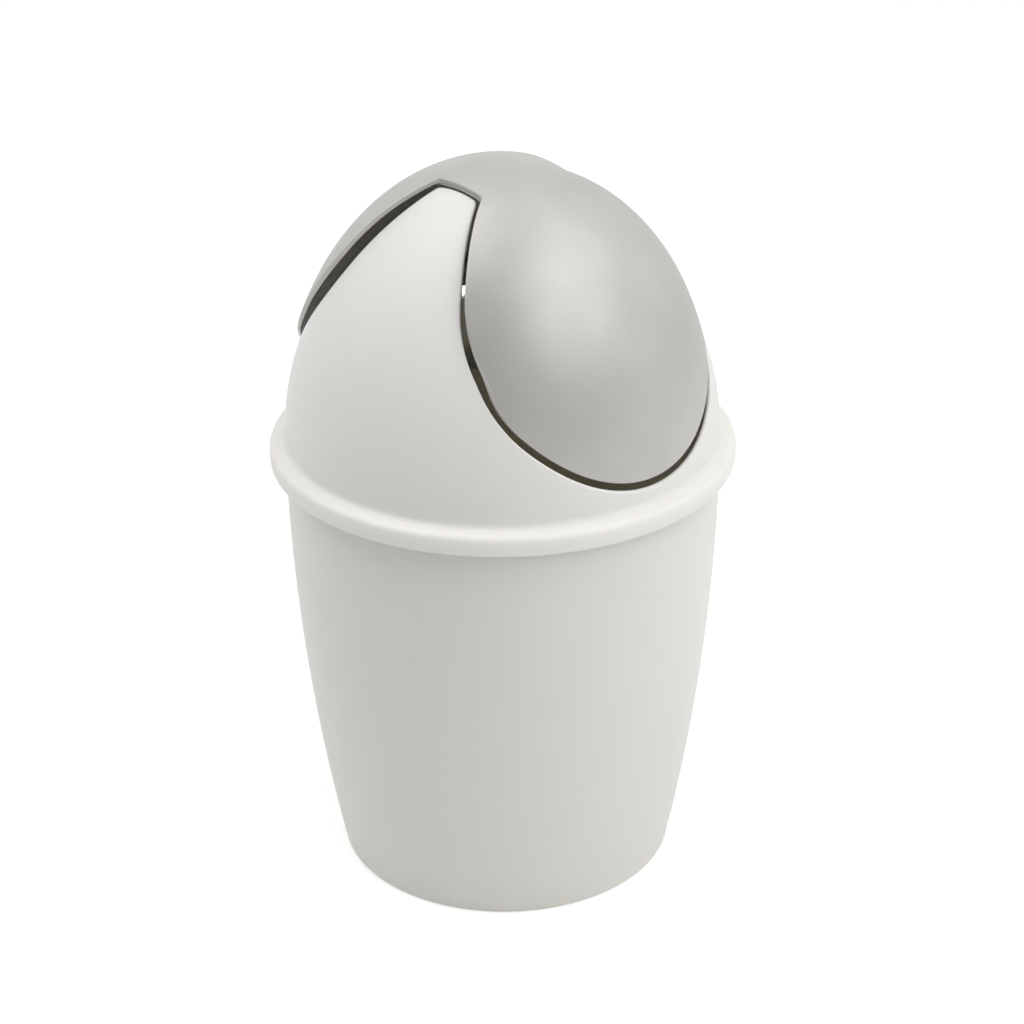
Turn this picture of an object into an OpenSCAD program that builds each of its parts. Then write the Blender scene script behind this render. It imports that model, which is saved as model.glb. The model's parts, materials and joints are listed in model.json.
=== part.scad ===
// Countertop waste bin: a barrel-sided bucket, a domed hood that drops on its rim,
// and a two-lobed flap that swings in the hood. Sizes in millimetres, foot at z = 0.
// The swing axis runs along X, through the hood's two cheeks; the lobes face -Y and +Y.

/* [Bucket] */
// Height of the bucket from the table to its rim, where the hood rests
bucket_h = 147; // [120:1:180]
// Outside radius of the bucket at the foot
foot_r = 55; // [50:0.5:60]
// Outside radius of the bucket at the mouth
mouth_r = 70; // [66:0.5:74]
// Thickness of the bucket's wall
bucket_t = 1.6; // [1.2:0.1:2]
// Thickness of the bucket's floor
floor_t = 2; // [1.5:0.1:3]
// Height of the hollow under the floor, inside the foot ring
foot_rise = 1.4; // [0.8:0.1:3]
// Width of the foot ring that touches the table
foot_w = 4; // [3:0.5:8]
// Radius that rounds the outer corner of the foot
foot_round = 1.6; // [0.8:0.1:2.4]
// How far the rim's bead stands out of the wall
bead_w = 1.2; // [0.6:0.1:1.5]
// Height of the rim's bead
bead_h = 2.4; // [1.6:0.1:3.2]

/* [Hood ring] */
// How far the ring that caps the bucket's rim stands out beyond the mouth
ring_over = 5; // [4.6:0.1:6]
// Thickness of the ring's skirt
ring_t = 1.6; // [1.2:0.1:2]
// Radius of the ring's quarter-round shoulder
ring_round = 7; // [6.6:0.1:7.4]
// Height of the ring's top above the bucket's rim
ring_rise = 3; // [2.6:0.1:3.6]
// How far the ring's skirt hangs below the bucket's rim
ring_drop = 4.7; // [4.2:0.1:8]
// Radius of the cove between the ring and the dome
cove_r = 2; // [1:0.1:2.6]
// Depth of the locating wall that goes into the bucket's mouth
plug_depth = 6; // [4:0.5:10]
// Thickness of the locating wall
plug_t = 1.4; // [1:0.1:1.8]
// Radial play of the locating wall in the mouth
plug_play = 0.4; // [0.3:0.05:0.8]

/* [Dome] */
// How far the dome's foot stands back from the ring's outside
dome_in = 5.6; // [5.2:0.1:6]
// Height of the dome's foot above the bucket's rim
dome_rise = 8.7; // [7:0.1:10]
// Height of the dome's curved part
dome_h = 84.8; // [82:0.2:88]
// Fullness of the dome's curve: 2 is an ellipse, less is more pointed
dome_power = 1.69; // [1.66:0.01:1.71]
// Thickness of the dome
dome_t = 1.4; // [1.1:0.1:1.5]

/* [Opening] */
// Half the width of each lobe of the opening
lobe_w = 45.1; // [43:0.1:45.5]
// Height of the opening's lowest point above the bucket's rim
lobe_rise = 7.2; // [6:0.1:8.2]
// Radius of the opening's lower edge, seen from the front
lobe_bottom_r = 50.8; // [48.5:0.1:53]
// Radius of the opening's lower corners, seen from the front
lobe_side_r = 26; // [18:0.5:29]
// Distance of each cheek's tip from the middle plane
tip_x = 17.6; // [17:0.1:20]
// Radius that rounds the corners of each cheek's tip, seen from above
tip_r = 3; // [2:0.1:4]
// Radius of the long sides of each cheek, seen from above
cheek_r = 130; // [110:1:160]
// Radius where each cheek spreads out to the dome, seen from above
spread_r = 17; // [15:0.1:19]
// Distance from the middle plane at which the cheek's edge runs straight down
spread_y = 37.7; // [37:0.1:39]
// Angle through which the spreading radius turns
spread_turn = 47; // [44:1:50]

/* [Flap] */
// How far the flap's curve stands proud of the dome at its foot
flap_proud = 0.4; // [0.2:0.1:0.8]
// Height of the centre of the flap's curve above the bucket's rim
flap_rise = 2.1; // [1.6:0.1:3]
// How far the flap's crown lies below the full height of the dome's curve
flap_drop = 0.4; // [0:0.1:0.8]
// Thickness of the flap
flap_t = 1.4; // [1:0.1:1.5]
// Gap between the flap and the long sides of the cheeks
flap_gap = 1.3; // [1:0.1:2]
// Gap between the flap's band over the top and the tips of the cheeks
tip_gap = 0.7; // [0.5:0.1:1]
// Gap between the flap's lowest point and the opening's lower edge
lip_gap = 3.8; // [3.4:0.1:5]
// Radius of the flap's lower edge, seen from the front
flap_bottom_r = 49.6; // [48.5:0.1:51]
// Radius of the flap's lower corners, seen from the front
flap_side_r = 20; // [16:0.5:22]

/* [Pivot] */
// Depth of the swing axis below the flap's crown
pivot_drop = 31.1; // [29.1:0.5:33.1]
// Angle by which the flap hangs off its middle position, front lobe inwards
hang = 1.4; // [0:0.1:3]
// Radius of the flap's pivot pins
pin_r = 2.5; // [2:0.1:3]
// Radial play of a pin in its socket
pin_play = 0.08; // [0.03:0.01:0.1]
// Length of a pin inside its socket
pin_grip = 9; // [6:0.5:11]
// Wall around the socket
socket_wall = 2; // [1.6:0.1:2.6]
// Side play between an ear of the flap and the socket's face
side_play = 0.6; // [0.4:0.1:1]
// How far the ears stand inside the edges of the band over the top
ear_inset = 0.5; // [0.2:0.1:2]
// Thickness of the flap's ears
ear_t = 1.8; // [1.4:0.1:2.4]
// Half the width of an ear where it joins the flap
ear_w = 9; // [7:0.5:11]
// Radius of an ear around its pin
ear_r = 5; // [4:0.5:6]
// Thickness of the web below each socket
web_t = 1.4; // [1:0.1:2]
// Height of the web below each socket
web_h = 13; // [8:0.5:14]

/* [Smoothness] */
// Steps along the profile of the bucket's wall
wall_steps = 20; // [12:1:40]
// Angle between points on the profiles of the dome and the flap
dome_step = 3; // [2:1:5]
// Angle between points on the small rounds and on the outlines
round_step = 5; // [3:1:9]
// Angle between points on the smallest rounds
small_step = 10; // [5:1:15]
// Angle between points on the cheeks' long, flat arcs
long_step = 1; // [1:1:2]

/* [Hidden] */
$fn = 96;
over = 20;                                   // how far cutting shapes run past what they cut
inside = 0.3;                                // how far joined shapes reach into each other
seat_z = bucket_h;
mouth_in_r = mouth_r - bucket_t;
ring_r = mouth_r + ring_over;
dome_r = ring_r - dome_in;
flap_r = dome_r + flap_proud;
floor_z = foot_rise + floor_t;
ring_top_z = seat_z + ring_rise;
ring_c = [ring_r - ring_round, ring_top_z - ring_round];
skirt_z = seat_z - ring_drop;
plug_r = mouth_in_r - plug_play;
plug_z = seat_z - plug_depth;
cove_c = [dome_r + cove_r, ring_c[1] + sqrt(pow(ring_round + cove_r, 2) - pow(dome_r + cove_r - ring_c[0], 2))];
cove_a = atan2(cove_c[1] - ring_c[1], cove_c[0] - ring_c[0]);
groove_r = ring_round - ring_t;
groove_a = asin((seat_z - ring_c[1]) / groove_r);
dome_z = seat_z + dome_rise;
lobe_z = seat_z + lobe_rise;
// The front outline hands over to the plan outline where both run straight up beside the cheek
split_r = norm([lobe_w, spread_y + dome_t / 2]);
split_z = dome_z + dome_h * pow(1 - pow(split_r / dome_r, dome_power), 1 / dome_power);
flap_z = seat_z + flap_rise;
flap_top_z = dome_z + dome_h - flap_drop;
flap_h = flap_top_z - flap_z;
flap_low_z = lobe_z + lip_gap;
pivot_z = flap_top_z - pivot_drop;
socket_r = pin_r + pin_play;
band_w = tip_x - tip_gap;
ear_x = band_w - ear_inset - ear_t;
socket_x = ear_x + ear_t + side_play;
socket_depth = pin_grip + side_play;
reach = ring_r + over;
crown_z = flap_top_z + over;

// Points on an arc about c, from angle a0 to a1
function arc(c, r, a0, a1, step) =
    let (n = max(2, ceil(abs(a1 - a0) / step)))
    [for (i = [0:n]) c + r * [cos(a0 + (a1 - a0) * i / n), sin(a0 + (a1 - a0) * i / n)]];

// Points on a quarter of a superellipse, from its foot on the side up to its top on the axis
function quarter(r, h, z, power) =
    [for (a = [0:dome_step:90]) [r * pow(max(0, cos(a)), 2 / power), z + h * pow(sin(a), 2 / power)]];

function flipped(points) = [for (i = [len(points) - 1:-1:0]) points[i]];
function mirrored(points) = [for (p = points) [-p[0], p[1]]];

// Outside radius of the bucket's wall at height z: it swells less and less towards the mouth
function wall_r(z) = mouth_r - (mouth_r - foot_r) * pow(1 - z / bucket_h, 2);

// The bucket's section, from the foot ring up the outside, over the rim and down the inside
function bucket_section() =
    let (wall = [for (i = [0:wall_steps]) foot_round + (seat_z - bead_h - foot_round) * i / wall_steps],
         inner = [for (i = [0:wall_steps]) seat_z + (floor_z - seat_z) * i / wall_steps])
    concat(
        [[0, foot_rise], [foot_r - foot_w - foot_rise, foot_rise], [foot_r - foot_w, 0]],
        arc([wall_r(foot_round) - foot_round, foot_round], foot_round, -90, 0, small_step),
        [for (z = wall) [wall_r(z), z]],
        [[mouth_r + bead_w, seat_z - bead_h + bead_w], [mouth_r + bead_w, seat_z]],
        [for (z = inner) [wall_r(z) - bucket_t, z]],
        [[0, floor_z]]);

// The hood's section: skirt, shoulder, cove, dome, locating wall and the groove over the rim
function hood_section() = concat(
    [[ring_r, skirt_z]],
    arc(ring_c, ring_round, 0, cove_a, round_step),
    arc(cove_c, cove_r, cove_a + 180, 180, small_step),
    quarter(dome_r, dome_h, dome_z, dome_power),
    flipped(quarter(dome_r - dome_t, dome_h - dome_t, dome_z, dome_power)),
    [[dome_r - dome_t, ring_top_z], [plug_r - plug_t, seat_z], [plug_r - plug_t, plug_z]],
    [[plug_r, plug_z], [plug_r, seat_z]],
    arc(ring_c, groove_r, groove_a, 0, round_step),
    [[ring_r - ring_t, skirt_z]]);

function flap_section() = concat(
    quarter(flap_r, flap_h, flap_z, 2),
    flipped(quarter(flap_r - flap_t, flap_h - flap_t, flap_z, 2)));

// Lower outline of a lobe seen from the front, as [x, z]: one wide arc and two corner arcs
module lobe_front(w, low_z, bottom_r, side_r) {
    bottom_c = [0, low_z + bottom_r];
    side_c = [w - side_r, bottom_c[1] - sqrt(pow(bottom_r - side_r, 2) - pow(w - side_r, 2))];
    turn = atan2(side_c[1] - bottom_c[1], side_c[0]);
    right = concat(
        arc(bottom_c, bottom_r, -90, turn, round_step),
        arc(side_c, side_r, turn, 0, round_step),
        [[w, split_z]]);
    polygon(concat(right, flipped(mirrored(right))));
}

// Outline of the passage between the cheeks seen from above, drawn in by gap on every side
// but by end_gap at the cheeks' tips
module passage_plan(gap, end_gap) {
    spread_c = [lobe_w - spread_r, spread_y];
    bend = [cos(spread_turn), -sin(spread_turn)];
    cheek_c = spread_c - (cheek_r - spread_r) * bend;
    tip_c_x = tip_x - end_gap + tip_r + gap;
    tip_c = [tip_c_x, cheek_c[1] - sqrt(pow(cheek_r + tip_r, 2) - pow(tip_c_x - cheek_c[0], 2))];
    tip_a = atan2(tip_c[1] - cheek_c[1], tip_c[0] - cheek_c[0]);
    quadrant = concat(
        [[lobe_w - gap, reach]],
        arc(spread_c, spread_r - gap, 0, -spread_turn, round_step),
        arc(cheek_c, cheek_r - gap, -spread_turn, tip_a, long_step),
        arc(tip_c, tip_r + gap, tip_a + 180, 180, small_step));
    right = concat(quadrant, [for (p = flipped(quadrant)) [p[0], -p[1]]]);
    polygon(concat(right, flipped(mirrored(right))));
}

// Solid of the two-lobed passage: extruded front outline below, extruded plan outline above.
// The upper one reaches down into the lower, which is wider there, so they join without a seam.
module passage(gap, end_gap, low_z, bottom_r, side_r) {
    translate([0, reach, 0])
        rotate([90, 0, 0])
            linear_extrude(2 * reach)
                lobe_front(lobe_w - gap, low_z, bottom_r, side_r);
    translate([0, 0, split_z - inside])
        linear_extrude(crown_z - split_z + inside)
            passage_plan(gap, end_gap);
}

// Cylinder along +X from x
module bar_x(x, r, length) {
    translate([x, 0, pivot_z])
        rotate([0, 90, 0])
            cylinder(r = r, h = length);
}

// Socket on the inner face of the cheek at +X, with the web that carries it
module socket_block() {
    bar_x(socket_x, socket_r + socket_wall, reach - socket_x);
    translate([socket_x, -web_t / 2, pivot_z - web_h])
        cube([reach - socket_x, web_t, web_h]);
}

// The room inside the dome, a little into its wall: it trims what stands on the inner face
module dome_core() {
    rotate_extrude()
        polygon(concat(
            quarter(dome_r - dome_t + inside, dome_h - dome_t + inside, dome_z, dome_power),
            [[0, seat_z], [dome_r - dome_t + inside, seat_z]]));
}

module bucket() {
    color([0.86, 0.86, 0.85])
        rotate_extrude()
            polygon(bucket_section());
}

module hood() {
    color([0.95, 0.95, 0.94])
        difference() {
            union() {
                difference() {
                    rotate_extrude()
                        polygon(hood_section());
                    passage(0, 0, lobe_z, lobe_bottom_r, lobe_side_r);
                }
                for (side = [0, 180])
                    intersection() {
                        rotate([0, 0, side])
                            socket_block();
                        dome_core();
                    }
            }
            for (side = [0, 180])
                rotate([0, 0, side])
                    bar_x(socket_x - inside, socket_r, socket_depth + inside);
        }
}

// One ear seen along X, as [y, z]: it tapers from the flap down to the pin
module ear_outline() {
    rise = flap_top_z - flap_t - pivot_z;
    lean = acos(ear_r / norm([ear_w, rise])) + atan2(ear_w, rise);
    circle(r = ear_r);
    polygon([
        [-ear_w, rise],
        ear_r * [-sin(lean), cos(lean)],
        [0, 0],
        ear_r * [sin(lean), cos(lean)],
        [ear_w, rise]]);
}

module ear() {
    translate([ear_x, 0, pivot_z])
        rotate([90, 0, 90])
            linear_extrude(ear_t)
                ear_outline();
}

// The room inside the flap, a little into its wall: it trims the ears
module flap_core() {
    rotate_extrude()
        polygon(concat(
            quarter(flap_r - flap_t + inside, flap_h - flap_t + inside, flap_z, 2),
            [[0, flap_z]]));
}

// The flap in its middle position, with both lobes at the same height
module level_flap() {
    intersection() {
        rotate_extrude()
            polygon(flap_section());
        passage(flap_gap, tip_gap, flap_low_z, flap_bottom_r, flap_side_r);
    }
    for (side = [0, 180])
        rotate([0, 0, side]) {
            intersection() {
                ear();
                flap_core();
            }
            bar_x(ear_x, pin_r, ear_t + side_play + pin_grip);
        }
}

module swing_flap() {
    color([0.74, 0.73, 0.71])
        translate([0, 0, pivot_z])
            rotate([hang, 0, 0])
                translate([0, 0, -pivot_z])
                    level_flap();
}

bucket();
hood();
swing_flap();
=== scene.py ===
"""Countertop waste bin with a swing lid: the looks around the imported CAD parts.

Sizes are held in millimetres, as in the part's source, and meshes are made in metres.
"""
import json
import logging
import math
from dataclasses import dataclass, field
from enum import Enum

import bmesh
import bpy
import numpy as np
from bpy.types import Material, Node, NodeSocket, NodeTree, Object
from mathutils import Matrix, Vector

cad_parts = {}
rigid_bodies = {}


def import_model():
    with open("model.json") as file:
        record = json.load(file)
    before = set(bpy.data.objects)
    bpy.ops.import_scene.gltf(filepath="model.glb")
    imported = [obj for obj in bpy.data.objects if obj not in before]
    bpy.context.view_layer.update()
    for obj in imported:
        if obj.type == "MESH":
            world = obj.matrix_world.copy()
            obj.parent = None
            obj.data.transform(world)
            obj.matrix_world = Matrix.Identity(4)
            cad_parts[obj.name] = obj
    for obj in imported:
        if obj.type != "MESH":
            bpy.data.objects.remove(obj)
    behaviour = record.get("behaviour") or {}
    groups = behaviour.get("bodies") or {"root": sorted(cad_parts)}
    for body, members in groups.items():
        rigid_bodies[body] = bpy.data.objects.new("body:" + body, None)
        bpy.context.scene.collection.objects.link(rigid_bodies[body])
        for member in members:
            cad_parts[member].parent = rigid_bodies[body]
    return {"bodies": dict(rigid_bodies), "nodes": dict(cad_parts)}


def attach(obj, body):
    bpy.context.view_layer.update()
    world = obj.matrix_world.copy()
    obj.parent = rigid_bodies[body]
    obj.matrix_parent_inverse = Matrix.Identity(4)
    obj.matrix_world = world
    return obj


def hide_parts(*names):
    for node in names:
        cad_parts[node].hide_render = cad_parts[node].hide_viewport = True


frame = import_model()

LOG = logging.getLogger("waste_bin")
MM = 0.001
WHITE = "#FFFFFF"
SHARP_DEGREES = 40.0        # edges that turn further than this stay sharp
BEVEL_SEGMENTS = 3
ROUND_STEPS = 5             # along each small round
PROFILE_POINTS = 3000       # along a dome's profile, read by interpolation
SKIRT_POINTS = 20


class Side(Enum):
    """The two cheeks, by the sign of x."""

    RIGHT = 1
    LEFT = -1


# ---------------- helpers

def linear(hex_colour: str) -> tuple[float, float, float, float]:
    """Turns an sRGB hex colour to the linear colour that a shader takes.

    Args:
        hex_colour: six hex digits, with or without a leading #.

    Returns:
        Linear red, green and blue, and an alpha of 1.
    """
    digits = hex_colour.lstrip("#")
    channels = [int(digits[i:i + 2], 16) / 255 for i in (0, 2, 4)]
    red, green, blue = (c / 12.92 if c <= 0.04045 else ((c + 0.055) / 1.055) ** 2.4 for c in channels)
    return red, green, blue, 1.0


def add_node(tree: NodeTree, kind: str, settings: dict | None = None, inputs: dict | None = None) -> Node:
    """Adds a node with its settings, constants and links.

    Args:
        tree: the node tree to add to.
        kind: the node's type name.
        settings: attributes of the node by name.
        inputs: input sockets by name or number; a socket as the value is linked, anything else is set.

    Returns:
        The new node.
    """
    node = tree.nodes.new(kind)
    for name, value in (settings or {}).items():
        setattr(node, name, value)
    for key, value in (inputs or {}).items():
        if isinstance(value, NodeSocket):
            tree.links.new(value, node.inputs[key])
        else:
            node.inputs[key].default_value = value
    return node


def maths(tree: NodeTree, operation: str, *values: NodeSocket | float) -> NodeSocket:
    """Adds a calculation with sockets or constants, and gives back its result."""
    node = add_node(tree, "ShaderNodeMath", {"operation": operation}, dict(enumerate(values)))
    return node.outputs[0]


def arc(centre: tuple[float, float], radius: float, start: float, end: float, steps: int) -> np.ndarray:
    """Points on an arc in a plane.

    Args:
        centre: the arc's centre.
        radius: the arc's radius.
        start: first angle in degrees.
        end: last angle in degrees.
        steps: number of steps between the first and the last point.

    Returns:
        An array of steps + 1 points.
    """
    angles = np.radians(np.linspace(start, end, steps + 1))
    return np.column_stack([centre[0] + radius * np.cos(angles), centre[1] + radius * np.sin(angles)])


def rounded(points: list[tuple[float, float]], radii: list[float]) -> np.ndarray:
    """Rounds the corners of an open line of points.

    Args:
        points: the line's points.
        radii: how far each corner's round reaches along its two sides; 0 keeps it sharp.

    Returns:
        The line with its rounds.
    """
    line = np.array(points, float)
    out = []
    for i, corner in enumerate(line):
        if radii[i] == 0 or i in (0, len(line) - 1):
            out.append(corner)
            continue
        before, after = line[i - 1] - corner, line[i + 1] - corner
        first = corner + before / np.linalg.norm(before) * radii[i]
        last = corner + after / np.linalg.norm(after) * radii[i]
        for t in np.linspace(0, 1, ROUND_STEPS + 1):
            out.append((1 - t) ** 2 * first + 2 * t * (1 - t) * corner + t * t * last)
    return np.array(out)


def mesh_object(name: str, points: np.ndarray, faces: list[tuple[int, ...]]) -> Object:
    """Makes a smooth-shaded mesh object.

    Args:
        name: the object's name.
        points: its points in millimetres.
        faces: its faces as point numbers.

    Returns:
        The new object, linked to the scene.
    """
    mesh = bpy.data.meshes.new(name)
    mesh.from_pydata((np.asarray(points, float) * MM).tolist(), [], faces)
    shape = bmesh.new()
    shape.from_mesh(mesh)
    bmesh.ops.recalc_face_normals(shape, faces=shape.faces)
    shape.to_mesh(mesh)
    shape.free()
    mesh.shade_smooth()
    mesh.set_sharp_from_angle(angle=math.radians(SHARP_DEGREES))
    made = bpy.data.objects.new(name, mesh)
    bpy.context.scene.collection.objects.link(made)
    return made


def ring_faces(rows: int, columns: int, closed_rows: bool) -> list[tuple[int, ...]]:
    """Faces of a grid whose columns run round and close.

    Args:
        rows: number of rows.
        columns: number of points in each row.
        closed_rows: whether the last row joins the first.

    Returns:
        Four-sided faces.
    """
    faces = []
    for row in range(rows if closed_rows else rows - 1):
        above = (row + 1) % rows
        for column in range(columns):
            after = (column + 1) % columns
            faces.append((row * columns + column, row * columns + after,
                          above * columns + after, above * columns + column))
    return faces


def closed_tube(name: str, rows: list[np.ndarray], first: tuple[float, ...],
                last: tuple[float, ...]) -> Object:
    """Joins closed rows of points into a tube and closes each end to a point.

    Args:
        name: the object's name.
        rows: the rows, with as many points in each.
        first: the point that closes the first row's end.
        last: the point that closes the last row's end.

    Returns:
        The new object.
    """
    columns, count = len(rows[0]), len(rows) * len(rows[0])
    faces = ring_faces(len(rows), columns, False)
    for column in range(columns):
        after = (column + 1) % columns
        faces.append((count, after, column))
        faces.append((count + 1, count - columns + column, count - columns + after))
    return mesh_object(name, np.vstack(rows + [[first, last]]), faces)


def lathe(name: str, profile: np.ndarray, columns: int = 288) -> Object:
    """Turns a profile that starts and ends on the axis into a closed body.

    Args:
        name: the object's name.
        profile: radius and height of each point, the first and last on the axis.
        columns: number of points round the axis.

    Returns:
        The new object.
    """
    turn = np.linspace(0, 2 * np.pi, columns, endpoint=False)
    rows = [np.column_stack([r * np.cos(turn), r * np.sin(turn), np.full(columns, z)])
            for r, z in profile[1:-1]]
    return closed_tube(name, rows, (0, 0, profile[0][1]), (0, 0, profile[-1][1]))


def bevel(piece: Object, width: float) -> None:
    """Rounds a piece's sharp edges, with the width in millimetres."""
    modifier = piece.modifiers.new("rounded_edges", "BEVEL")
    modifier.width, modifier.segments = width * MM, BEVEL_SEGMENTS
    modifier.limit_method, modifier.angle_limit = "ANGLE", math.radians(SHARP_DEGREES)


# ---------------- surfaces

class RoundSurface:
    """A surface of revolution, addressed by azimuth and by the way along its profile."""

    def __init__(self, radius: np.ndarray, height: np.ndarray) -> None:
        """Takes the profile from its foot up to the axis, in millimetres."""
        self.radius, self.height = radius, height
        steps = np.hypot(np.diff(radius), np.diff(height))
        self.way = np.concatenate([[0], np.cumsum(steps)])
        self.slope_r = np.gradient(radius, self.way)
        self.slope_z = np.gradient(height, self.way)

    def way_at_height(self, z: np.ndarray) -> np.ndarray:
        """Way along the profile at a height."""
        return np.interp(z, self.height, self.way)

    def way_at_radius(self, r: np.ndarray) -> np.ndarray:
        """Way along the profile at a radius, on the part where it narrows."""
        return np.interp(r, self.radius[::-1], self.way[::-1])

    def radius_at(self, z: np.ndarray) -> np.ndarray:
        """Radius at a height."""
        return np.interp(z, self.height, self.radius)

    def height_at(self, r: np.ndarray) -> np.ndarray:
        """Height at a radius, on the part where the profile narrows."""
        return np.interp(r, self.radius[::-1], self.height[::-1])

    def points(self, azimuth: np.ndarray, way: np.ndarray) -> np.ndarray:
        """Points of the surface at azimuths and ways."""
        r, z = np.interp(way, self.way, self.radius), np.interp(way, self.way, self.height)
        return np.stack([r * np.cos(azimuth), r * np.sin(azimuth), z], axis=-1)

    def inset(self, azimuth: np.ndarray, way: np.ndarray, distance: float,
              towards_axis: bool) -> tuple[np.ndarray, np.ndarray]:
        """Moves a closed edge sideways within the surface.

        Args:
            azimuth: the edge's azimuths, counter-clockwise seen from above.
            way: the edge's ways along the profile.
            distance: how far to move it, in millimetres.
            towards_axis: whether it moves towards the axis's side of the edge.

        Returns:
            The moved edge's azimuths and ways.
        """
        edge = self.points(azimuth, way)
        along = np.roll(edge, -1, axis=0) - np.roll(edge, 1, axis=0)
        along /= np.linalg.norm(along, axis=1)[:, None]
        across = np.column_stack([-np.sin(azimuth), np.cos(azimuth), np.zeros_like(azimuth)])
        slope_r, slope_z = (np.interp(way, self.way, s) for s in (self.slope_r, self.slope_z))
        up = np.column_stack([slope_r * np.cos(azimuth), slope_r * np.sin(azimuth), slope_z])
        up /= np.linalg.norm(up, axis=1)[:, None]
        sideways = np.cross(np.cross(across, up), along) * (1 if towards_axis else -1)
        r = np.interp(way, self.way, self.radius)
        return (azimuth + distance * np.einsum("ij,ij->i", sideways, across) / r,
                way + distance * np.einsum("ij,ij->i", sideways, up))


def quarter_surface(radius: float, height: float, foot: float, power: float,
                    skirt: float | None = None) -> RoundSurface:
    """The surface of a quarter of a superellipse turned about the axis.

    Args:
        radius: its radius at the foot.
        height: its height.
        foot: the height of its foot.
        power: the fullness of its curve; 2 is an ellipse.
        skirt: the height where a straight wall below the foot starts, or None.

    Returns:
        The surface.
    """
    a = np.linspace(0, np.pi / 2, PROFILE_POINTS)
    r = radius * np.clip(np.cos(a), 0, 1) ** (2 / power)
    z = foot + height * np.sin(a) ** (2 / power)
    if skirt is not None:
        r = np.concatenate([np.full(SKIRT_POINTS, radius), r])
        z = np.concatenate([np.linspace(skirt, foot, SKIRT_POINTS, endpoint=False), z])
    return RoundSurface(r, z)


@dataclass
class Outline:
    """The two-lobed outline that the opening and the flap share, in millimetres."""

    lobe_w: float = 45.1        # half the lobes' width
    low_z: float = 154.2        # lowest point of the edge
    bottom_r: float = 50.8
    side_r: float = 26.0
    gap: float = 0.0            # how far the flap's edge stands back from the opening's
    tip_gap: float = 0.0        # the same between the cheek tips
    tip_x: float = 17.6         # half the distance between the cheek tips
    tip_r: float = 2.2          # the part's source has 3; the photographed corners are sharper
    cheek_r: float = 130.0
    spread_r: float = 17.0
    spread_y: float = 37.7
    spread_turn: float = 47.0
    # steps along the flat, tip, cheek, spread, straight, side and bottom of a quarter
    steps: tuple[int, ...] = (8, 14, 32, 24, 16, 28, 46)

    @property
    def quadrant(self) -> int:
        """Steps of the edge in a quarter of the bin."""
        return sum(self.steps)

    @property
    def corner(self) -> int:
        """Step in the middle of a lobe's lower corner."""
        return sum(self.steps[:5]) + self.steps[5] // 2

    def plan(self) -> np.ndarray:
        """The quarter's edge beside a cheek seen from above, from the middle of its tip outwards."""
        turn = math.radians(self.spread_turn)
        spread = np.array([self.lobe_w - self.spread_r, self.spread_y])
        cheek = spread - (self.cheek_r - self.spread_r) * np.array([math.cos(turn), -math.sin(turn)])
        edge_x = self.tip_x - self.tip_gap
        tip_x = edge_x + self.tip_r + self.gap
        tip = (tip_x, cheek[1] - math.sqrt((self.cheek_r + self.tip_r) ** 2 - (tip_x - cheek[0]) ** 2))
        tip_turn = math.degrees(math.atan2(tip[1] - cheek[1], tip[0] - cheek[0]))
        flat = np.column_stack([np.full(self.steps[0] + 1, edge_x),
                                np.linspace(0, tip[1], self.steps[0] + 1)])
        return np.vstack([
            flat[:-1],
            arc(tip, self.tip_r + self.gap, 180, tip_turn + 180, self.steps[1])[:-1],
            arc(cheek, self.cheek_r - self.gap, tip_turn, -self.spread_turn, self.steps[2])[:-1],
            arc(spread, self.spread_r - self.gap, -self.spread_turn, 0, self.steps[3])])

    def front(self) -> np.ndarray:
        """The quarter's lower edge seen from the front, from the lobe's side to its lowest point."""
        width = self.lobe_w - self.gap
        bottom = (0.0, self.low_z + self.bottom_r)
        reach = math.sqrt((self.bottom_r - self.side_r) ** 2 - (width - self.side_r) ** 2)
        side = (width - self.side_r, bottom[1] - reach)
        turn = math.degrees(math.atan2(side[1] - bottom[1], side[0]))
        return np.vstack([arc(side, self.side_r, 0, turn, self.steps[5])[:-1],
                          arc(bottom, self.bottom_r, turn, -90, self.steps[6])])

    def edge_on(self, surface: RoundSurface) -> tuple[np.ndarray, np.ndarray]:
        """The whole closed edge on a surface.

        Args:
            surface: the surface that the outline is cut into.

        Returns:
            Azimuths and ways, counter-clockwise from the middle of the cheek at +X.
        """
        width = self.lobe_w - self.gap
        plan, front = self.plan(), self.front()
        plan_r = np.hypot(plan[:, 0], plan[:, 1])
        straight = np.linspace(surface.height_at(plan_r[-1]), front[0, 1], self.steps[4] + 1)[1:-1]
        low_x = np.concatenate([np.full(len(straight), width), front[:, 0]])
        low_z = np.concatenate([straight, front[:, 1]])
        low_turn = np.arccos(np.clip(low_x / surface.radius_at(low_z), -1, 1))
        turn = np.concatenate([np.arctan2(plan[:, 1], plan[:, 0]), low_turn])
        way = np.concatenate([surface.way_at_radius(plan_r), surface.way_at_height(low_z)])
        back = turn[::-1]
        return (np.concatenate([turn[:-1], np.pi - back[:-1], np.pi + turn[:-1], 2 * np.pi - back[:-1]]),
                np.concatenate([way[:-1], way[::-1][:-1], way[:-1], way[::-1][:-1]]))


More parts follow.
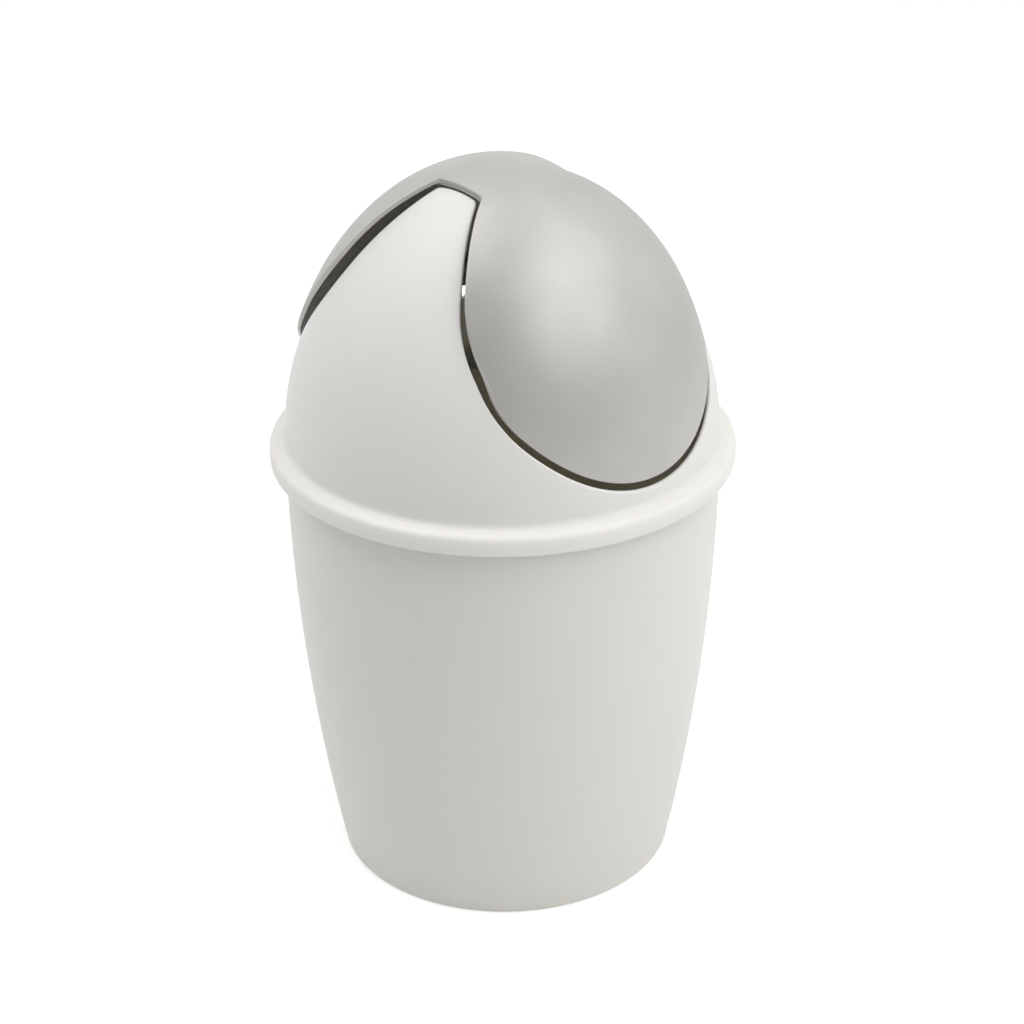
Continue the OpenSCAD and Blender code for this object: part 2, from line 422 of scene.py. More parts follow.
def lip(outer: np.ndarray, outer_edge: np.ndarray, inner_edge: np.ndarray, inner: np.ndarray,
        outer_round: float, inner_round: float) -> list[np.ndarray]:
    """Rows of points over a rounded edge, from an outer surface to an inner one.

    Args:
        outer: where the outer surface ends.
        outer_edge: the sharp outer edge that is rounded away.
        inner_edge: the sharp inner edge that is rounded away.
        inner: where the inner surface starts.
        outer_round: how far the outer round reaches down the edge's wall.
        inner_round: how far the inner round reaches up the edge's wall.

    Returns:
        The rows between the two surfaces, without the surfaces' own rows.
    """
    wall = inner_edge - outer_edge
    wall /= np.linalg.norm(wall, axis=1)[:, None]
    first, last = outer_edge + wall * outer_round, inner_edge - wall * inner_round
    rows = []
    for t in np.linspace(0, 1, ROUND_STEPS + 1)[1:]:
        rows.append((1 - t) ** 2 * outer + 2 * t * (1 - t) * outer_edge + t * t * first)
    for t in np.linspace(0, 1, ROUND_STEPS + 1)[:-1]:
        rows.append((1 - t) ** 2 * last + 2 * t * (1 - t) * inner_edge + t * t * inner)
    return rows


# ---------------- finishes

def empty_material(name: str) -> tuple[Material, NodeTree]:
    """Makes a material and gives it back with its emptied node tree."""
    made = bpy.data.materials.new(name)
    made.use_nodes = True
    made.node_tree.nodes.clear()
    return made, made.node_tree


def noise(tree: NodeTree, size: float, detail: float, contrast: float = 0.5) -> NodeSocket:
    """Adds noise that is set in the object's own space.

    Args:
        tree: the node tree to add to.
        size: the size of its coarsest grains in millimetres.
        detail: how many finer layers lie on those.
        contrast: how strong the finer layers are.

    Returns:
        The noise's value.
    """
    place = add_node(tree, "ShaderNodeTexCoord").outputs["Object"]
    made = add_node(tree, "ShaderNodeTexNoise", None, {"Vector": place, "Scale": 1 / (size * MM),
                                                       "Detail": detail, "Roughness": contrast})
    return made.outputs["Fac"]


@dataclass(frozen=True)
class MouldedPolypropylene:
    """Injection-moulded polypropylene from a fine spark-eroded tool.

    To the eye it is soft and matt: broad dull highlights, no mirror image, a slightly waxy body.
    """

    name: str
    colour: str
    shade: str
    roughness: float = 0.46
    rough_spread: float = 0.03
    ior: float = 1.49
    grain_mm: float = 0.5       # the real grain is about 0.05 mm; drawn coarser so that it shows at all
    mottle_mm: float = 38.0     # slow change of tone where the melt cooled at different rates
    bump_mm: float = 0.006
    bump_strength: float = 0.6
    body_light: float = 0.5     # share of the light that enters the body and comes out again near by
    body_mm: float = 2.4        # how far that light travels; thin walls let some of it through
    body_tint: tuple[float, float, float] = (1.0, 0.92, 0.8)    # red light travels a little further

    def material(self) -> Material:
        """Builds the material.

        Returns:
            The material, whose patterns are set in the object's own space.
        """
        made, tree = empty_material(self.name)
        mottle = noise(tree, self.mottle_mm, 2.0)
        colour = add_node(tree, "ShaderNodeMix", {"data_type": "RGBA"},
                          {0: mottle, 6: linear(self.colour), 7: linear(self.shade)})
        grain = noise(tree, self.grain_mm, 3.0)
        rough = add_node(tree, "ShaderNodeMapRange", None,
                         {"Value": grain, "To Min": self.roughness - self.rough_spread,
                          "To Max": self.roughness + self.rough_spread})
        relief = add_node(tree, "ShaderNodeBump", None,
                          {"Height": grain, "Distance": self.bump_mm * MM, "Strength": self.bump_strength})
        body = add_node(tree, "ShaderNodeBsdfPrincipled", None,
                        {"Base Color": colour.outputs[2], "Roughness": rough.outputs["Result"],
                         "IOR": self.ior, "Normal": relief.outputs["Normal"],
                         "Subsurface Weight": self.body_light, "Subsurface Radius": self.body_tint,
                         "Subsurface Scale": self.body_mm * MM})
        add_node(tree, "ShaderNodeOutputMaterial", None, {"Surface": body.outputs["BSDF"]})
        return made


@dataclass(frozen=True)
class FlakeFilledAbs:
    """Injection-moulded ABS filled with fine aluminium flake.

    To the eye it is a warm satin grey with a faint, fine sparkle and one broad, soft highlight.
    """

    name: str
    colour: str
    shade: str
    roughness: float = 0.42
    rough_spread: float = 0.05
    metallic: float = 0.4
    ior: float = 1.53
    flake_mm: float = 0.4       # real flake is about 0.03 mm; drawn coarser so that it shows at all
    flake_contrast: float = 0.7
    flake_share: float = 0.6    # the flake's weight in the change of tone; the mottle has 1
    tone_from: float = 0.45
    tone_to: float = 1.15
    mottle_mm: float = 26.0
    bump_mm: float = 0.004
    bump_strength: float = 0.5

    def material(self) -> Material:
        """Builds the material.

        Returns:
            The material, whose patterns are set in the object's own space.
        """
        made, tree = empty_material(self.name)
        flake = noise(tree, self.flake_mm, 4.0, self.flake_contrast)
        mottle = noise(tree, self.mottle_mm, 2.0)
        both = maths(tree, "MULTIPLY_ADD", flake, self.flake_share, mottle)
        blend = add_node(tree, "ShaderNodeMapRange", None,
                         {"Value": both, "From Min": self.tone_from, "From Max": self.tone_to})
        colour = add_node(tree, "ShaderNodeMix", {"data_type": "RGBA"},
                          {0: blend.outputs["Result"], 6: linear(self.shade), 7: linear(self.colour)})
        rough = add_node(tree, "ShaderNodeMapRange", None,
                         {"Value": flake, "To Min": self.roughness - self.rough_spread,
                          "To Max": self.roughness + self.rough_spread})
        relief = add_node(tree, "ShaderNodeBump", None,
                          {"Height": flake, "Distance": self.bump_mm * MM, "Strength": self.bump_strength})
        body = add_node(tree, "ShaderNodeBsdfPrincipled", None,
                        {"Base Color": colour.outputs[2], "Roughness": rough.outputs["Result"],
                         "Metallic": self.metallic, "IOR": self.ior,
                         "Normal": relief.outputs["Normal"]})
        add_node(tree, "ShaderNodeOutputMaterial", None, {"Surface": body.outputs["BSDF"]})
        return made


BUCKET_FINISH = MouldedPolypropylene("moulded_polypropylene_grey_white", "#EFEDE6", "#EBE9E2")
HOOD_FINISH = MouldedPolypropylene("moulded_polypropylene_white", "#F5F3EE", "#F1EFEA")
FLAP_FINISH = FlakeFilledAbs("flake_filled_abs_satin_grey", "#C6C4C0", "#B6B4B0")


def seat(piece: Object, finish: Material, body: str) -> None:
    """Gives a piece its finish and its slot, sets it on its body and reports it.

    Args:
        piece: the piece.
        finish: its material.
        body: the CAD body that it moves with.
    """
    piece.data.materials.clear()
    piece.data.materials.append(finish)
    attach(piece, body)
    LOG.info("%s: %d points on %s", piece.name, len(piece.data.vertices), body)


# ---------------- sub-assemblies

@dataclass
class Bucket:
    """The barrel-sided bucket, in millimetres."""

    height: float = 147.0
    foot_r: float = 55.0
    mouth_r: float = 70.0
    wall: float = 1.6
    floor: float = 2.0
    foot_rise: float = 1.4
    foot_w: float = 4.0
    foot_round: float = 1.6
    bead_w: float = 1.2
    bead_h: float = 2.4
    rim_round: float = 0.35
    rim_depth: float = 1.0      # from the rim to where the inside starts to follow the barrel
    crease: float = 0.3
    recess_round: float = 0.5
    floor_round: float = 3.0
    wall_steps: int = 70
    foot_steps: int = 12
    floor_steps: int = 10

    def radius(self, z: np.ndarray | float) -> np.ndarray | float:
        """Outside radius of the wall at a height."""
        return self.mouth_r - (self.mouth_r - self.foot_r) * (1 - z / self.height) ** 2

    def profile(self) -> np.ndarray:
        """The bucket's section from the axis under the floor, round the rim, to the axis on the floor."""
        foot_x = float(self.radius(self.foot_round)) - self.foot_round
        under = rounded([(0, self.foot_rise), (self.foot_r - self.foot_w - self.foot_rise, self.foot_rise),
                         (self.foot_r - self.foot_w, 0), (foot_x, 0)],
                        [0, self.recess_round, self.crease, 0])
        corner = arc((foot_x, self.foot_round), self.foot_round, -90, 0, self.foot_steps)[1:]
        z = np.linspace(self.foot_round, self.height - self.bead_h, self.wall_steps)[1:]
        outside = np.column_stack([self.radius(z), z])
        bead_r = self.mouth_r + self.bead_w
        rim = rounded([tuple(outside[-1]), (bead_r, self.height - self.bead_h + self.bead_w),
                       (bead_r, self.height), (self.mouth_r - self.wall, self.height),
                       (self.mouth_r - self.wall, self.height - self.rim_depth)],
                      [0, self.crease, self.rim_round, self.rim_round, 0])[1:]
        floor_z = self.foot_rise + self.floor
        low = floor_z + self.floor_round
        z = np.linspace(self.height - self.rim_depth, low, self.wall_steps)[1:]
        inside = np.column_stack([self.radius(z) - self.wall, z])
        turn_c = (inside[-1][0] - self.floor_round, low)
        turn = arc(turn_c, self.floor_round, 0, -90, self.floor_steps)[1:]
        return np.vstack([under, corner, outside, rim, inside, turn, [(0, floor_z)]])

    def build(self) -> None:
        """Builds the bucket's mesh, dresses it and puts it in the CAD node's place."""
        shell = lathe("bucket_shell", self.profile())
        seat(shell, BUCKET_FINISH.material(), "bucket")
        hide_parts("bucket")


@dataclass
class Hood:
    """The lift-off hood: ring, dome with its two-lobed opening, locating wall and pivot sockets."""

    seat_z: float = 147.0
    ring_r: float = 75.0
    ring_t: float = 1.6
    ring_round: float = 7.0     # shapes the hollow inside the ring
    ring_rise: float = 3.0
    ring_drop: float = 4.7
    side_r: float = 9.0         # the ring's side is a little fuller at mid height
    side_z: float = 144.8
    side_turn: float = 12.0     # how far up the side turns inwards, in degrees
    corner_r: float = 2.6
    ledge_lean: float = 12.0    # how far the ledge slopes down outwards, in degrees
    ring_foot: float = 0.6      # how far above the ring's foot the side starts
    foot_round: float = 0.45
    crease: float = 0.3
    cove_r: float = 2.0
    plug_r: float = 68.0
    plug_t: float = 1.4
    plug_depth: float = 6.0
    plug_round: float = 0.4
    dome_r: float = 69.4
    dome_rise: float = 8.7
    dome_h: float = 84.8
    dome_power: float = 1.69
    dome_t: float = 1.4
    lip_round: float = 0.9
    inner_round: float = 0.3
    pivot_z: float = 209.0
    socket_x: float = 17.0
    socket_r: float = 2.58
    socket_wall: float = 2.0
    socket_depth: float = 9.6
    mouth_round: float = 0.35
    mouth_depth: float = 2.0
    web_t: float = 1.4
    web_h: float = 13.0
    web_round: float = 0.25
    bury: float = 0.3           # how far sockets and webs reach into the dome's wall
    dome_lead: float = 0.5      # how far above the ring's top the dome's inside starts
    foot_share: float = 0.55    # how far the foot's points follow the edge's, not an even spread
    dome_rows: int = 44
    arc_steps: int = 12
    side_steps: int = 14
    corner_steps: int = 16
    socket_columns: int = 72
    web_rows: int = 16
    outline: Outline = field(default_factory=Outline)

    def surface(self, depth: float, skirt: float) -> RoundSurface:
        """The dome's surface at a depth inside its wall, from a height upwards."""
        return quarter_surface(self.dome_r - depth, self.dome_h - depth,
                               self.seat_z + self.dome_rise, self.dome_power, skirt)

    def turned_rows(self) -> np.ndarray:
        """The hood's section below the dome, from the dome's inside round the ring to its outside."""
        top, low = self.seat_z + self.ring_rise, self.seat_z - self.ring_drop
        centre = (self.ring_r - self.ring_round, top - self.ring_round)
        inner = self.plug_r - self.plug_t
        plug_z = self.seat_z - self.plug_depth
        wall = rounded([(self.dome_r - self.dome_t, top + self.dome_lead), (self.dome_r - self.dome_t, top),
                        (inner, self.seat_z), (inner, plug_z), (self.plug_r, plug_z),
                        (self.plug_r, self.seat_z)],
                       [0, self.crease, self.crease, self.plug_round, self.plug_round, 0])
        groove = self.ring_round - self.ring_t
        rise = math.degrees(math.asin((self.seat_z - centre[1]) / groove))
        roof = arc(centre, groove, rise, 0, self.arc_steps)
        fall = math.degrees(math.asin((low + self.ring_foot - self.side_z) / self.side_r))
        side = arc((self.ring_r - self.side_r, self.side_z), self.side_r, fall, self.side_turn,
                   self.side_steps)
        foot = rounded([tuple(roof[-1]), (self.ring_r - self.ring_t, low), (side[0][0], low), tuple(side[0])],
                       [0, self.crease, self.foot_round, 0])[1:-1]
        a = math.radians(self.side_turn)
        corner_c = side[-1] - self.corner_r * np.array([math.cos(a), math.sin(a)])
        corner = arc(tuple(corner_c), self.corner_r, self.side_turn, 90 - self.ledge_lean,
                     self.corner_steps)[1:]
        cove_x, lean = self.dome_r + self.cove_r, math.radians(self.ledge_lean)
        cove_foot = cove_x - self.cove_r * math.sin(lean)
        ledge_z = corner[-1][1] + (corner[-1][0] - cove_foot) * math.tan(lean)
        cove = arc((cove_x, ledge_z + self.cove_r * math.cos(lean)), self.cove_r,
                   270 - self.ledge_lean, 180, self.arc_steps)
        return np.vstack([wall, roof, foot, side, corner, cove])

    def dome_side(self, depth: float, foot_z: float, edge_round: float,
                  foot_turn: np.ndarray | None) -> tuple[list[np.ndarray], np.ndarray, np.ndarray]:
        """One face of the dome's wall, as rows of points from its foot to the opening's edge.

        Args:
            depth: depth of the face inside the wall.
            foot_z: height of its foot.
            edge_round: how far the edge's round takes away from the face.
            foot_turn: azimuths at the foot, or None to spread them from the edge.

        Returns:
            The rows, the sharp edge's points and the azimuths at the foot.
        """
        surface = self.surface(depth, foot_z)
        turn, way = self.outline.edge_on(surface)
        edge = surface.points(turn, way)
        near_turn, near_way = surface.inset(turn, way, edge_round, towards_axis=False)
        if foot_turn is None:
            steps = np.linalg.norm(np.roll(edge, -1, axis=0) - edge, axis=1)
            even = 2 * np.pi * np.concatenate([[0], np.cumsum(steps)[:-1]]) / steps.sum()
            foot_turn = self.foot_share * near_turn + (1 - self.foot_share) * even
        rows = []
        for share in np.linspace(0, 1, self.dome_rows + 1):
            rows.append(surface.points(foot_turn + (near_turn - foot_turn) * share, near_way * share))
        return rows, edge, foot_turn

    def build_shell(self) -> Object:
        """Builds ring, locating wall and dome as one closed mesh.

        Returns:
            The shell.
        """
        section = self.turned_rows()
        outer, outer_edge, foot_turn = self.dome_side(0, section[-1][1], self.lip_round, None)
        inner, inner_edge, _ = self.dome_side(self.dome_t, section[0][1], self.inner_round, foot_turn)
        ring = [np.column_stack([r * np.cos(foot_turn), r * np.sin(foot_turn), np.full(len(foot_turn), z)])
                for r, z in section[1:-1]]
        over = lip(outer[-1], outer_edge, inner_edge, inner[-1], self.lip_round, self.inner_round)
        rows = ring + outer + over + inner[::-1]
        return mesh_object("hood_shell", np.vstack(rows), ring_faces(len(rows), len(foot_turn), True))

    def wall_x(self, y: np.ndarray, z: np.ndarray) -> np.ndarray:
        """Distance of the dome's inside from the plane x = 0, a little into the wall."""
        inside = self.surface(self.dome_t, self.seat_z)
        return np.sqrt((inside.radius_at(z) + self.bury) ** 2 - y ** 2)

    def build_socket(self, side: Side) -> Object:
        """Builds the blind socket that one of the flap's pins turns in.

        Args:
            side: the cheek that it stands on.

        Returns:
            The socket.
        """
        columns = self.socket_columns
        turn = np.linspace(0, 2 * np.pi, columns, endpoint=False)
        outside = self.socket_r + self.socket_wall
        mouth = rounded([(self.socket_r, self.socket_x + self.socket_depth), (self.socket_r, self.socket_x),
                         (outside, self.socket_x), (outside, self.socket_x + self.mouth_depth)],
                        [0, self.mouth_round, self.mouth_round, 0])
        rows = [np.column_stack([np.full(columns, x), r * np.cos(turn), self.pivot_z + r * np.sin(turn)])
                for r, x in mouth]
        far = rows[-1].copy()
        far[:, 0] = self.wall_x(far[:, 1], far[:, 2])
        rows.append(far)
        middle = self.wall_x(np.array([0.0]), np.array([self.pivot_z]))[0]
        for row in rows:
            row[:, 0] *= side.value
        return closed_tube(f"hood_socket_{side.name.lower()}", rows,
                           (side.value * (self.socket_x + self.socket_depth), 0, self.pivot_z),
                           (side.value * middle, 0, self.pivot_z))

    def build_web(self, side: Side) -> Object:
        """Builds the web that carries a socket.

        Args:
            side: the cheek that it stands on.

        Returns:
            The web.
        """
        rows = self.web_rows
        top = self.pivot_z - self.socket_r - self.socket_wall / 2
        heights = np.linspace(self.pivot_z - self.web_h, top, rows)
        points, faces = [], []
        for z in heights:
            far = self.wall_x(np.array([self.web_t / 2]), np.array([z]))[0]
            points += [(self.socket_x, -self.web_t / 2, z), (far, -self.web_t / 2, z),
                       (far, self.web_t / 2, z), (self.socket_x, self.web_t / 2, z)]
        for row in range(rows - 1):
            for i in range(4):
                j = (i + 1) % 4
                faces.append((row * 4 + i, row * 4 + j, row * 4 + 4 + j, row * 4 + 4 + i))
        faces += [(0, 1, 2, 3), tuple(range(4 * rows - 4, 4 * rows))]
        web = np.array(points)
        web[:, 0] *= side.value
        made = mesh_object(f"hood_web_{side.name.lower()}", web, faces)
        bevel(made, self.web_round)
        return made

    def build(self) -> None:
        """Builds the hood's pieces, dresses them and puts them in the CAD node's place."""
        finish = HOOD_FINISH.material()
        shell = self.build_shell()
        seat(shell, finish, "hood")
        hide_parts("hood")
        for side in Side:
            seat(self.build_socket(side), finish, "hood")
            seat(self.build_web(side), finish, "hood")


@dataclass
class SwingFlap:
    """The two-lobed flap with its ears and pins, in millimetres."""

    radius: float = 69.8
    centre_z: float = 149.1
    height: float = 91.0
    wall: float = 1.4
    pivot_z: float = 209.0
    hang: float = 1.4           # degrees off the middle position, front lobe inwards, as photographed
    pin_r: float = 2.5
    pin_end_x: float = 26.0
    pin_round: float = 0.4
    pin_root: float = 0.4       # how far inside the ear's face a pin starts
    pin_columns: int = 64
    ear_x: float = 14.6
    ear_t: float = 1.8
    ear_w: float = 9.0
    ear_r: float = 5.0
    ear_round: float = 0.25
    ear_steps: int = 36
    ear_top_points: int = 25
    bury: float = 0.3           # how far the ears reach into the flap's wall
    rim_round: float = 0.5
    inner_round: float = 0.3
    outline: Outline = field(default_factory=lambda: Outline(
        low_z=158.0, bottom_r=49.6, side_r=20.0, gap=1.3, tip_gap=0.7))

    def face(self, depth: float, edge_round: float) -> tuple[np.ndarray, np.ndarray, np.ndarray]:
        """One face of the flap's wall, as a four-sided patch that follows the outline.

        Args:
            depth: depth of the face inside the wall.
            edge_round: how far the edge's round takes away from the face.

        Returns:
            The patch's points as a grid, its edge's points in a loop and the sharp edge's points.
        """
        radius, height = self.radius - depth, self.height - depth
        surface = quarter_surface(radius, height, self.centre_z, 2)
        turn, way = self.outline.edge_on(surface)
        sharp = surface.points(turn, way)
        near = surface.points(*surface.inset(turn, way, edge_round, towards_axis=True))
        tall = radius / height
        lean = np.arctan2((near[:, 2] - self.centre_z) * tall, near[:, 1])
        grid = self.fill(np.column_stack([near[:, 0], radius * lean]))
        across = np.sqrt(radius ** 2 - grid[..., 0] ** 2)
        lean = grid[..., 1] / radius
        points = np.stack([grid[..., 0], across * np.cos(lean),
                           self.centre_z + across * np.sin(lean) / tall], axis=-1)
        return points, near, sharp

    def fill(self, loop: np.ndarray) -> np.ndarray:
        """Fills a closed flat outline with a grid between its four corners.

        Args:
            loop: the outline's points, counter-clockwise from the cheek at +X.

        Returns:
            A grid of points whose border is the outline.
        """
        corner, quarter = self.outline.corner, self.outline.quadrant
        double = np.vstack([loop, loop])
        total = 4 * quarter
        right = double[total - corner:total + corner + 1]
        back = loop[corner:2 * quarter - corner + 1]
        left = loop[2 * quarter - corner:2 * quarter + corner + 1][::-1]
        front = loop[2 * quarter + corner:total - corner + 1][::-1]

        def shares(line: np.ndarray) -> np.ndarray:
            """Share of a line's length at each of its points."""
            way = np.concatenate([[0], np.cumsum(np.linalg.norm(np.diff(line, axis=0), axis=1))])
            return way / way[-1]

        u = ((shares(front) + shares(back)) / 2)[None, :, None]
        v = ((shares(right) + shares(left)) / 2)[:, None, None]
        sides = (1 - u) * right[:, None] + u * left[:, None]
        ends = (1 - v) * front[None] + v * back[None]
        corners = ((1 - u) * (1 - v) * right[0] + u * (1 - v) * left[0]
                   + (1 - u) * v * right[-1] + u * v * left[-1])
        return sides + ends - corners

    def build_shell(self) -> Object:
        """Builds the flap's shell as one closed mesh with a rounded rim.

        Returns:
            The shell.
        """
        outer, outer_near, outer_sharp = self.face(0, self.rim_round)
        inner, inner_near, inner_sharp = self.face(self.wall, self.inner_round)
        tall, wide = outer.shape[:2]
        numbers = np.arange(tall * wide).reshape(tall, wide)
        corner, quarter = self.outline.corner, self.outline.quadrant
        border = np.concatenate([numbers[:, 0], numbers[-1, 1:], numbers[:-1, -1][::-1],
                                 numbers[0, 1:-1][::-1]])
        border = np.roll(border, -corner)
        over = lip(outer_near, outer_sharp, inner_sharp, inner_near, self.rim_round, self.inner_round)
        points = np.vstack([outer.reshape(-1, 3), inner.reshape(-1, 3)] + over)
        faces = []
        for start in (0, tall * wide):
            for row in range(tall - 1):
                for column in range(wide - 1):
                    a = start + row * wide + column
                    faces.append((a, a + 1, a + wide + 1, a + wide))
        count = 4 * quarter
        rows = [border] + [2 * tall * wide + k * count + np.arange(count) for k in range(len(over))]
        rows.append(border + tall * wide)
        for low, high in zip(rows[:-1], rows[1:]):
            for i in range(count):
                j = (i + 1) % count
                faces.append((int(low[i]), int(low[j]), int(high[j]), int(high[i])))
        return mesh_object("flap_shell", points, faces)

    def build_ear(self, side: Side) -> Object:
        """Builds the ear that hangs from the flap and carries a pin.

        Args:
            side: the cheek that it faces.

        Returns:
            The ear.
        """
        radius, height = self.radius - self.wall + self.bury, self.height - self.wall + self.bury
        rise = self.centre_z + height - self.bury - self.pivot_z
        reach = math.hypot(self.ear_w, rise)
        lean = math.degrees(math.acos(self.ear_r / reach) + math.atan2(self.ear_w, rise))
        low = arc((0, 0), self.ear_r, 90 + lean, 450 - lean, self.ear_steps)
        top = np.column_stack([np.linspace(self.ear_w, -self.ear_w, self.ear_top_points),
                               np.full(self.ear_top_points, rise)])
        plan = np.vstack([low, top])
        points = []
        for x in (self.ear_x, self.ear_x + self.ear_t):
            for i, (y, z) in enumerate(plan):
                roof = self.centre_z + height * math.sqrt(1 - (x * x + y * y) / radius ** 2)
                points.append((x, y, roof if i >= len(low) else self.pivot_z + z))
        count = len(plan)
        faces = [tuple(range(count)), tuple(range(count, 2 * count))]
        faces += [(i, (i + 1) % count, count + (i + 1) % count, count + i) for i in range(count)]
        ear = np.array(points)
        ear[:, 0] *= side.value
        made = mesh_object(f"flap_ear_{side.name.lower()}", ear, faces)
        bevel(made, self.ear_round)
        return made

    def build_pin(self, side: Side) -> Object:
        """Builds the stub pin on an ear.

        Args:
            side: the cheek that it turns in.

        Returns:
            The pin.
        """
        root = self.ear_x + self.pin_root
        profile = rounded([(0, root), (self.pin_r, root), (self.pin_r, self.pin_end_x), (0, self.pin_end_x)],
                          [0, 0, self.pin_round, 0])
        made = lathe(f"flap_pin_{side.name.lower()}", profile, self.pin_columns)
        turn = Matrix.Translation((0, 0, self.pivot_z * MM)) @ Matrix.Rotation(
            side.value * math.pi / 2, 4, "Y")
        made.data.transform(turn)
        return made

    def build(self) -> None:
        """Builds the flap's pieces, hangs them, dresses them and puts them in the CAD node's place."""
        finish = FLAP_FINISH.material()
        shell = self.build_shell()
        pieces = [shell]
        for side in Side:
            pieces += [self.build_ear(side), self.build_pin(side)]
        pivot = Matrix.Translation((0, 0, self.pivot_z * MM))
        hung = pivot @ Matrix.Rotation(math.radians(self.hang), 4, "X") @ pivot.inverted()
        for piece in pieces:
            piece.data.transform(hung)
            seat(piece, finish, "swing_flap")
        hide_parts("swing_flap")


# ---------------- studio

def direction(azimuth: float, elevation: float) -> Vector:
    """Direction from the bin to something that stands at an azimuth and elevation in degrees."""
    a, e = math.radians(azimuth), math.radians(elevation)
    return Vector((math.sin(a) * math.cos(e), -math.cos(a) * math.cos(e), math.sin(e)))


@dataclass(frozen=True)
class Lamp:
    """A soft box that looks at the bin: its direction in degrees, its width in metres and its watts.

    An azimuth of 0 stands it on the side of -Y, and -42 on the camera's side.
    """

    name: str
    azimuth: float
    elevation: float
    power: float
    width: float
    distance: float = 1.6
    target: tuple[float, float, float] = (0.0, 0.0, 0.12)

    def build(self) -> None:
        """Adds the lamp to the scene."""
        data = bpy.data.lights.new(self.name, "AREA")
        data.shape, data.size, data.energy = "SQUARE", self.width, self.power
        made = bpy.data.objects.new(self.name, data)
        way = direction(self.azimuth, self.elevation)
        made.location = Vector(self.target) + way * self.distance
        made.rotation_euler = way.to_track_quat("Z", "Y").to_euler()
        bpy.context.scene.collection.objects.link(made)


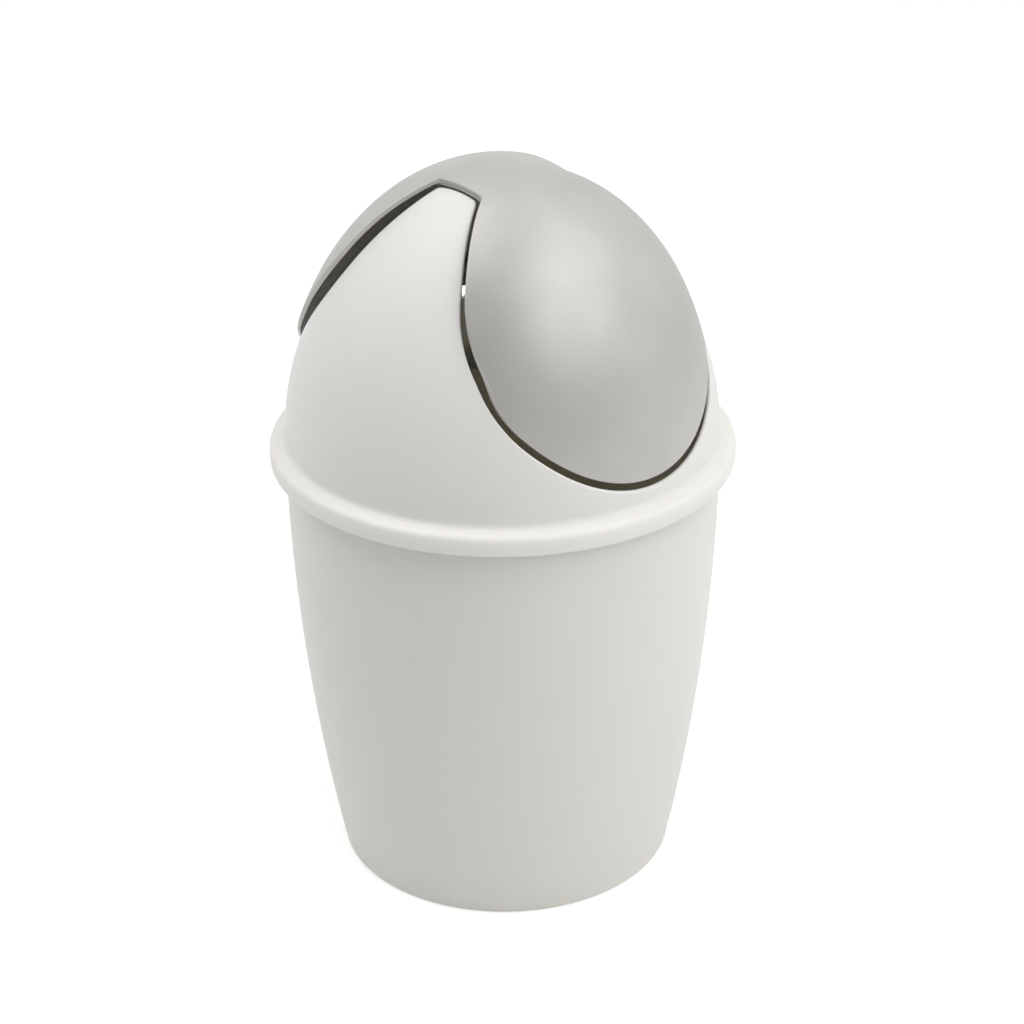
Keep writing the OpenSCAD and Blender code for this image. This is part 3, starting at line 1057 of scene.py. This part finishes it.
@dataclass
class Studio:
    """Camera, floor, backdrop and lamps."""

    azimuth: float = -42.7
    elevation: float = 26.98
    roll: float = -0.49
    distance: float = 929.1
    aim_right: float = 2.78
    aim_z: float = 119.44
    lens: float = 100.125
    sensor: float = 36.0
    clip: tuple[float, float] = (0.05, 50.0)
    floor_size: float = 12.0
    paper: str = "#E6E6E6"
    room: float = 0.29          # strength of the room's even light
    behind_from: float = -0.25  # how square to the bin's far side mirrored white starts to show
    behind_to: float = 0.35
    floor_glow: float = 0.45    # what the paper adds for the camera, so that it reads as white
    lamps: tuple[Lamp, ...] = (
        Lamp("key_softbox", 48, 48, 2.2, 0.7),
        Lamp("front_softbox", 5, 45, 8.0, 1.2),
        Lamp("side_softbox", 30, 20, 2.8, 1.2),
        Lamp("far_side_softbox", 75, 30, 0.8, 1.2),
        Lamp("top_softbox", 45, 75, 3.8, 1.5),
        Lamp("left_softbox", -130, 65, 6.8, 1.2),
        Lamp("back_softbox", -150, 40, 5.0, 1.2),
    )

    def build_camera(self) -> None:
        """Stands the camera where the photograph was taken from."""
        back = direction(self.azimuth, self.elevation)
        a = math.radians(self.azimuth)
        right = Vector((math.cos(a), math.sin(a), 0))
        aim = (right * self.aim_right + Vector((0, 0, self.aim_z))) * MM
        data = bpy.data.cameras.new("photo_camera")
        data.lens, data.sensor_width = self.lens, self.sensor
        data.clip_start, data.clip_end = self.clip
        camera = bpy.data.objects.new("photo_camera", data)
        bpy.context.scene.collection.objects.link(camera)
        turn = (-back).to_track_quat("-Z", "Y").to_matrix().to_4x4() @ Matrix.Rotation(
            math.radians(self.roll), 4, "Z")
        camera.matrix_world = Matrix.Translation(aim + back * self.distance * MM) @ turn
        bpy.context.scene.camera = camera

    @staticmethod
    def backdrop_ray(tree: NodeTree) -> NodeSocket:
        """Adds what tells whether a ray shows the backdrop: the camera's own, mirrored or sent through.

        Args:
            tree: the node tree to add to.

        Returns:
            A socket that is 1 on such rays and 0 on the rest.
        """
        path = add_node(tree, "ShaderNodeLightPath").outputs
        mirrored = maths(tree, "MAXIMUM", path["Is Camera Ray"], path["Is Glossy Ray"])
        return maths(tree, "MAXIMUM", mirrored, path["Is Transmission Ray"])

    def build_world(self) -> None:
        """Makes the room's even light and the white backdrop.

        The camera sees white all round. What the bin mirrors is white only on the side behind it, so that
        the side towards the camera mirrors the dimmer room.
        """
        world = bpy.data.worlds.new("white_room")
        bpy.context.scene.world = world
        world.use_nodes = True
        tree = world.node_tree
        tree.nodes.clear()
        room = add_node(tree, "ShaderNodeBackground", None, {"Color": linear(WHITE), "Strength": self.room})
        white = add_node(tree, "ShaderNodeBackground", None, {"Color": linear(WHITE), "Strength": 1.0})
        facing = add_node(tree, "ShaderNodeVectorMath", {"operation": "DOT_PRODUCT"},
                          {0: add_node(tree, "ShaderNodeTexCoord").outputs["Generated"],
                           1: tuple(direction(self.azimuth + 180, 0))})
        behind = add_node(tree, "ShaderNodeMapRange", None,
                          {"Value": facing.outputs["Value"], "From Min": self.behind_from,
                           "From Max": self.behind_to})
        shows = maths(tree, "MULTIPLY", self.backdrop_ray(tree), behind.outputs["Result"])
        seen = maths(tree, "MAXIMUM", add_node(tree, "ShaderNodeLightPath").outputs["Is Camera Ray"], shows)
        both = add_node(tree, "ShaderNodeMixShader", None,
                        {0: seen, 1: room.outputs[0], 2: white.outputs[0]})
        add_node(tree, "ShaderNodeOutputWorld", None, {"Surface": both.outputs[0]})

    def build_floor(self) -> None:
        """Lays a plain pale floor that reads as white paper and keeps the object's shadow."""
        half = self.floor_size / 2 / MM
        floor = mesh_object("floor", np.array([(-half, -half, 0), (half, -half, 0), (half, half, 0),
                                               (-half, half, 0)], float), [(0, 1, 2, 3)])
        paper, tree = empty_material("matt_white_paper")
        matt = add_node(tree, "ShaderNodeBsdfDiffuse", None, {"Color": linear(self.paper)})
        share = maths(tree, "MULTIPLY", self.backdrop_ray(tree), self.floor_glow)
        glow = add_node(tree, "ShaderNodeEmission", None, {"Color": linear(WHITE), "Strength": share})
        both = add_node(tree, "ShaderNodeAddShader", None, {0: matt.outputs[0], 1: glow.outputs[0]})
        add_node(tree, "ShaderNodeOutputMaterial", None, {"Surface": both.outputs[0]})
        floor.data.materials.append(paper)

    def build(self) -> None:
        """Builds floor, room and lamps."""
        self.build_world()
        self.build_floor()
        for lamp in self.lamps:
            lamp.build()
            LOG.info("lamp %s, %.1f W", lamp.name, lamp.power)


def clear_startup() -> None:
    """Removes what Blender's start file brings and the frame doesn't hold."""
    kept = set(frame["nodes"].values()) | set(frame["bodies"].values())
    for stray in [o for o in bpy.data.objects if o not in kept]:
        bpy.data.objects.remove(stray)


def main() -> None:
    """Builds the bin's pieces and the studio."""
    logging.basicConfig(level=logging.INFO, format="%(name)s %(message)s")
    clear_startup()
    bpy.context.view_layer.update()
    studio = Studio()
    studio.build_camera()
    Bucket().build()
    Hood().build()
    SwingFlap().build()
    studio.build()
    bpy.context.scene.view_settings.view_transform = "Standard"
    bpy.context.view_layer.update()


if __name__ == "__main__":
    main()
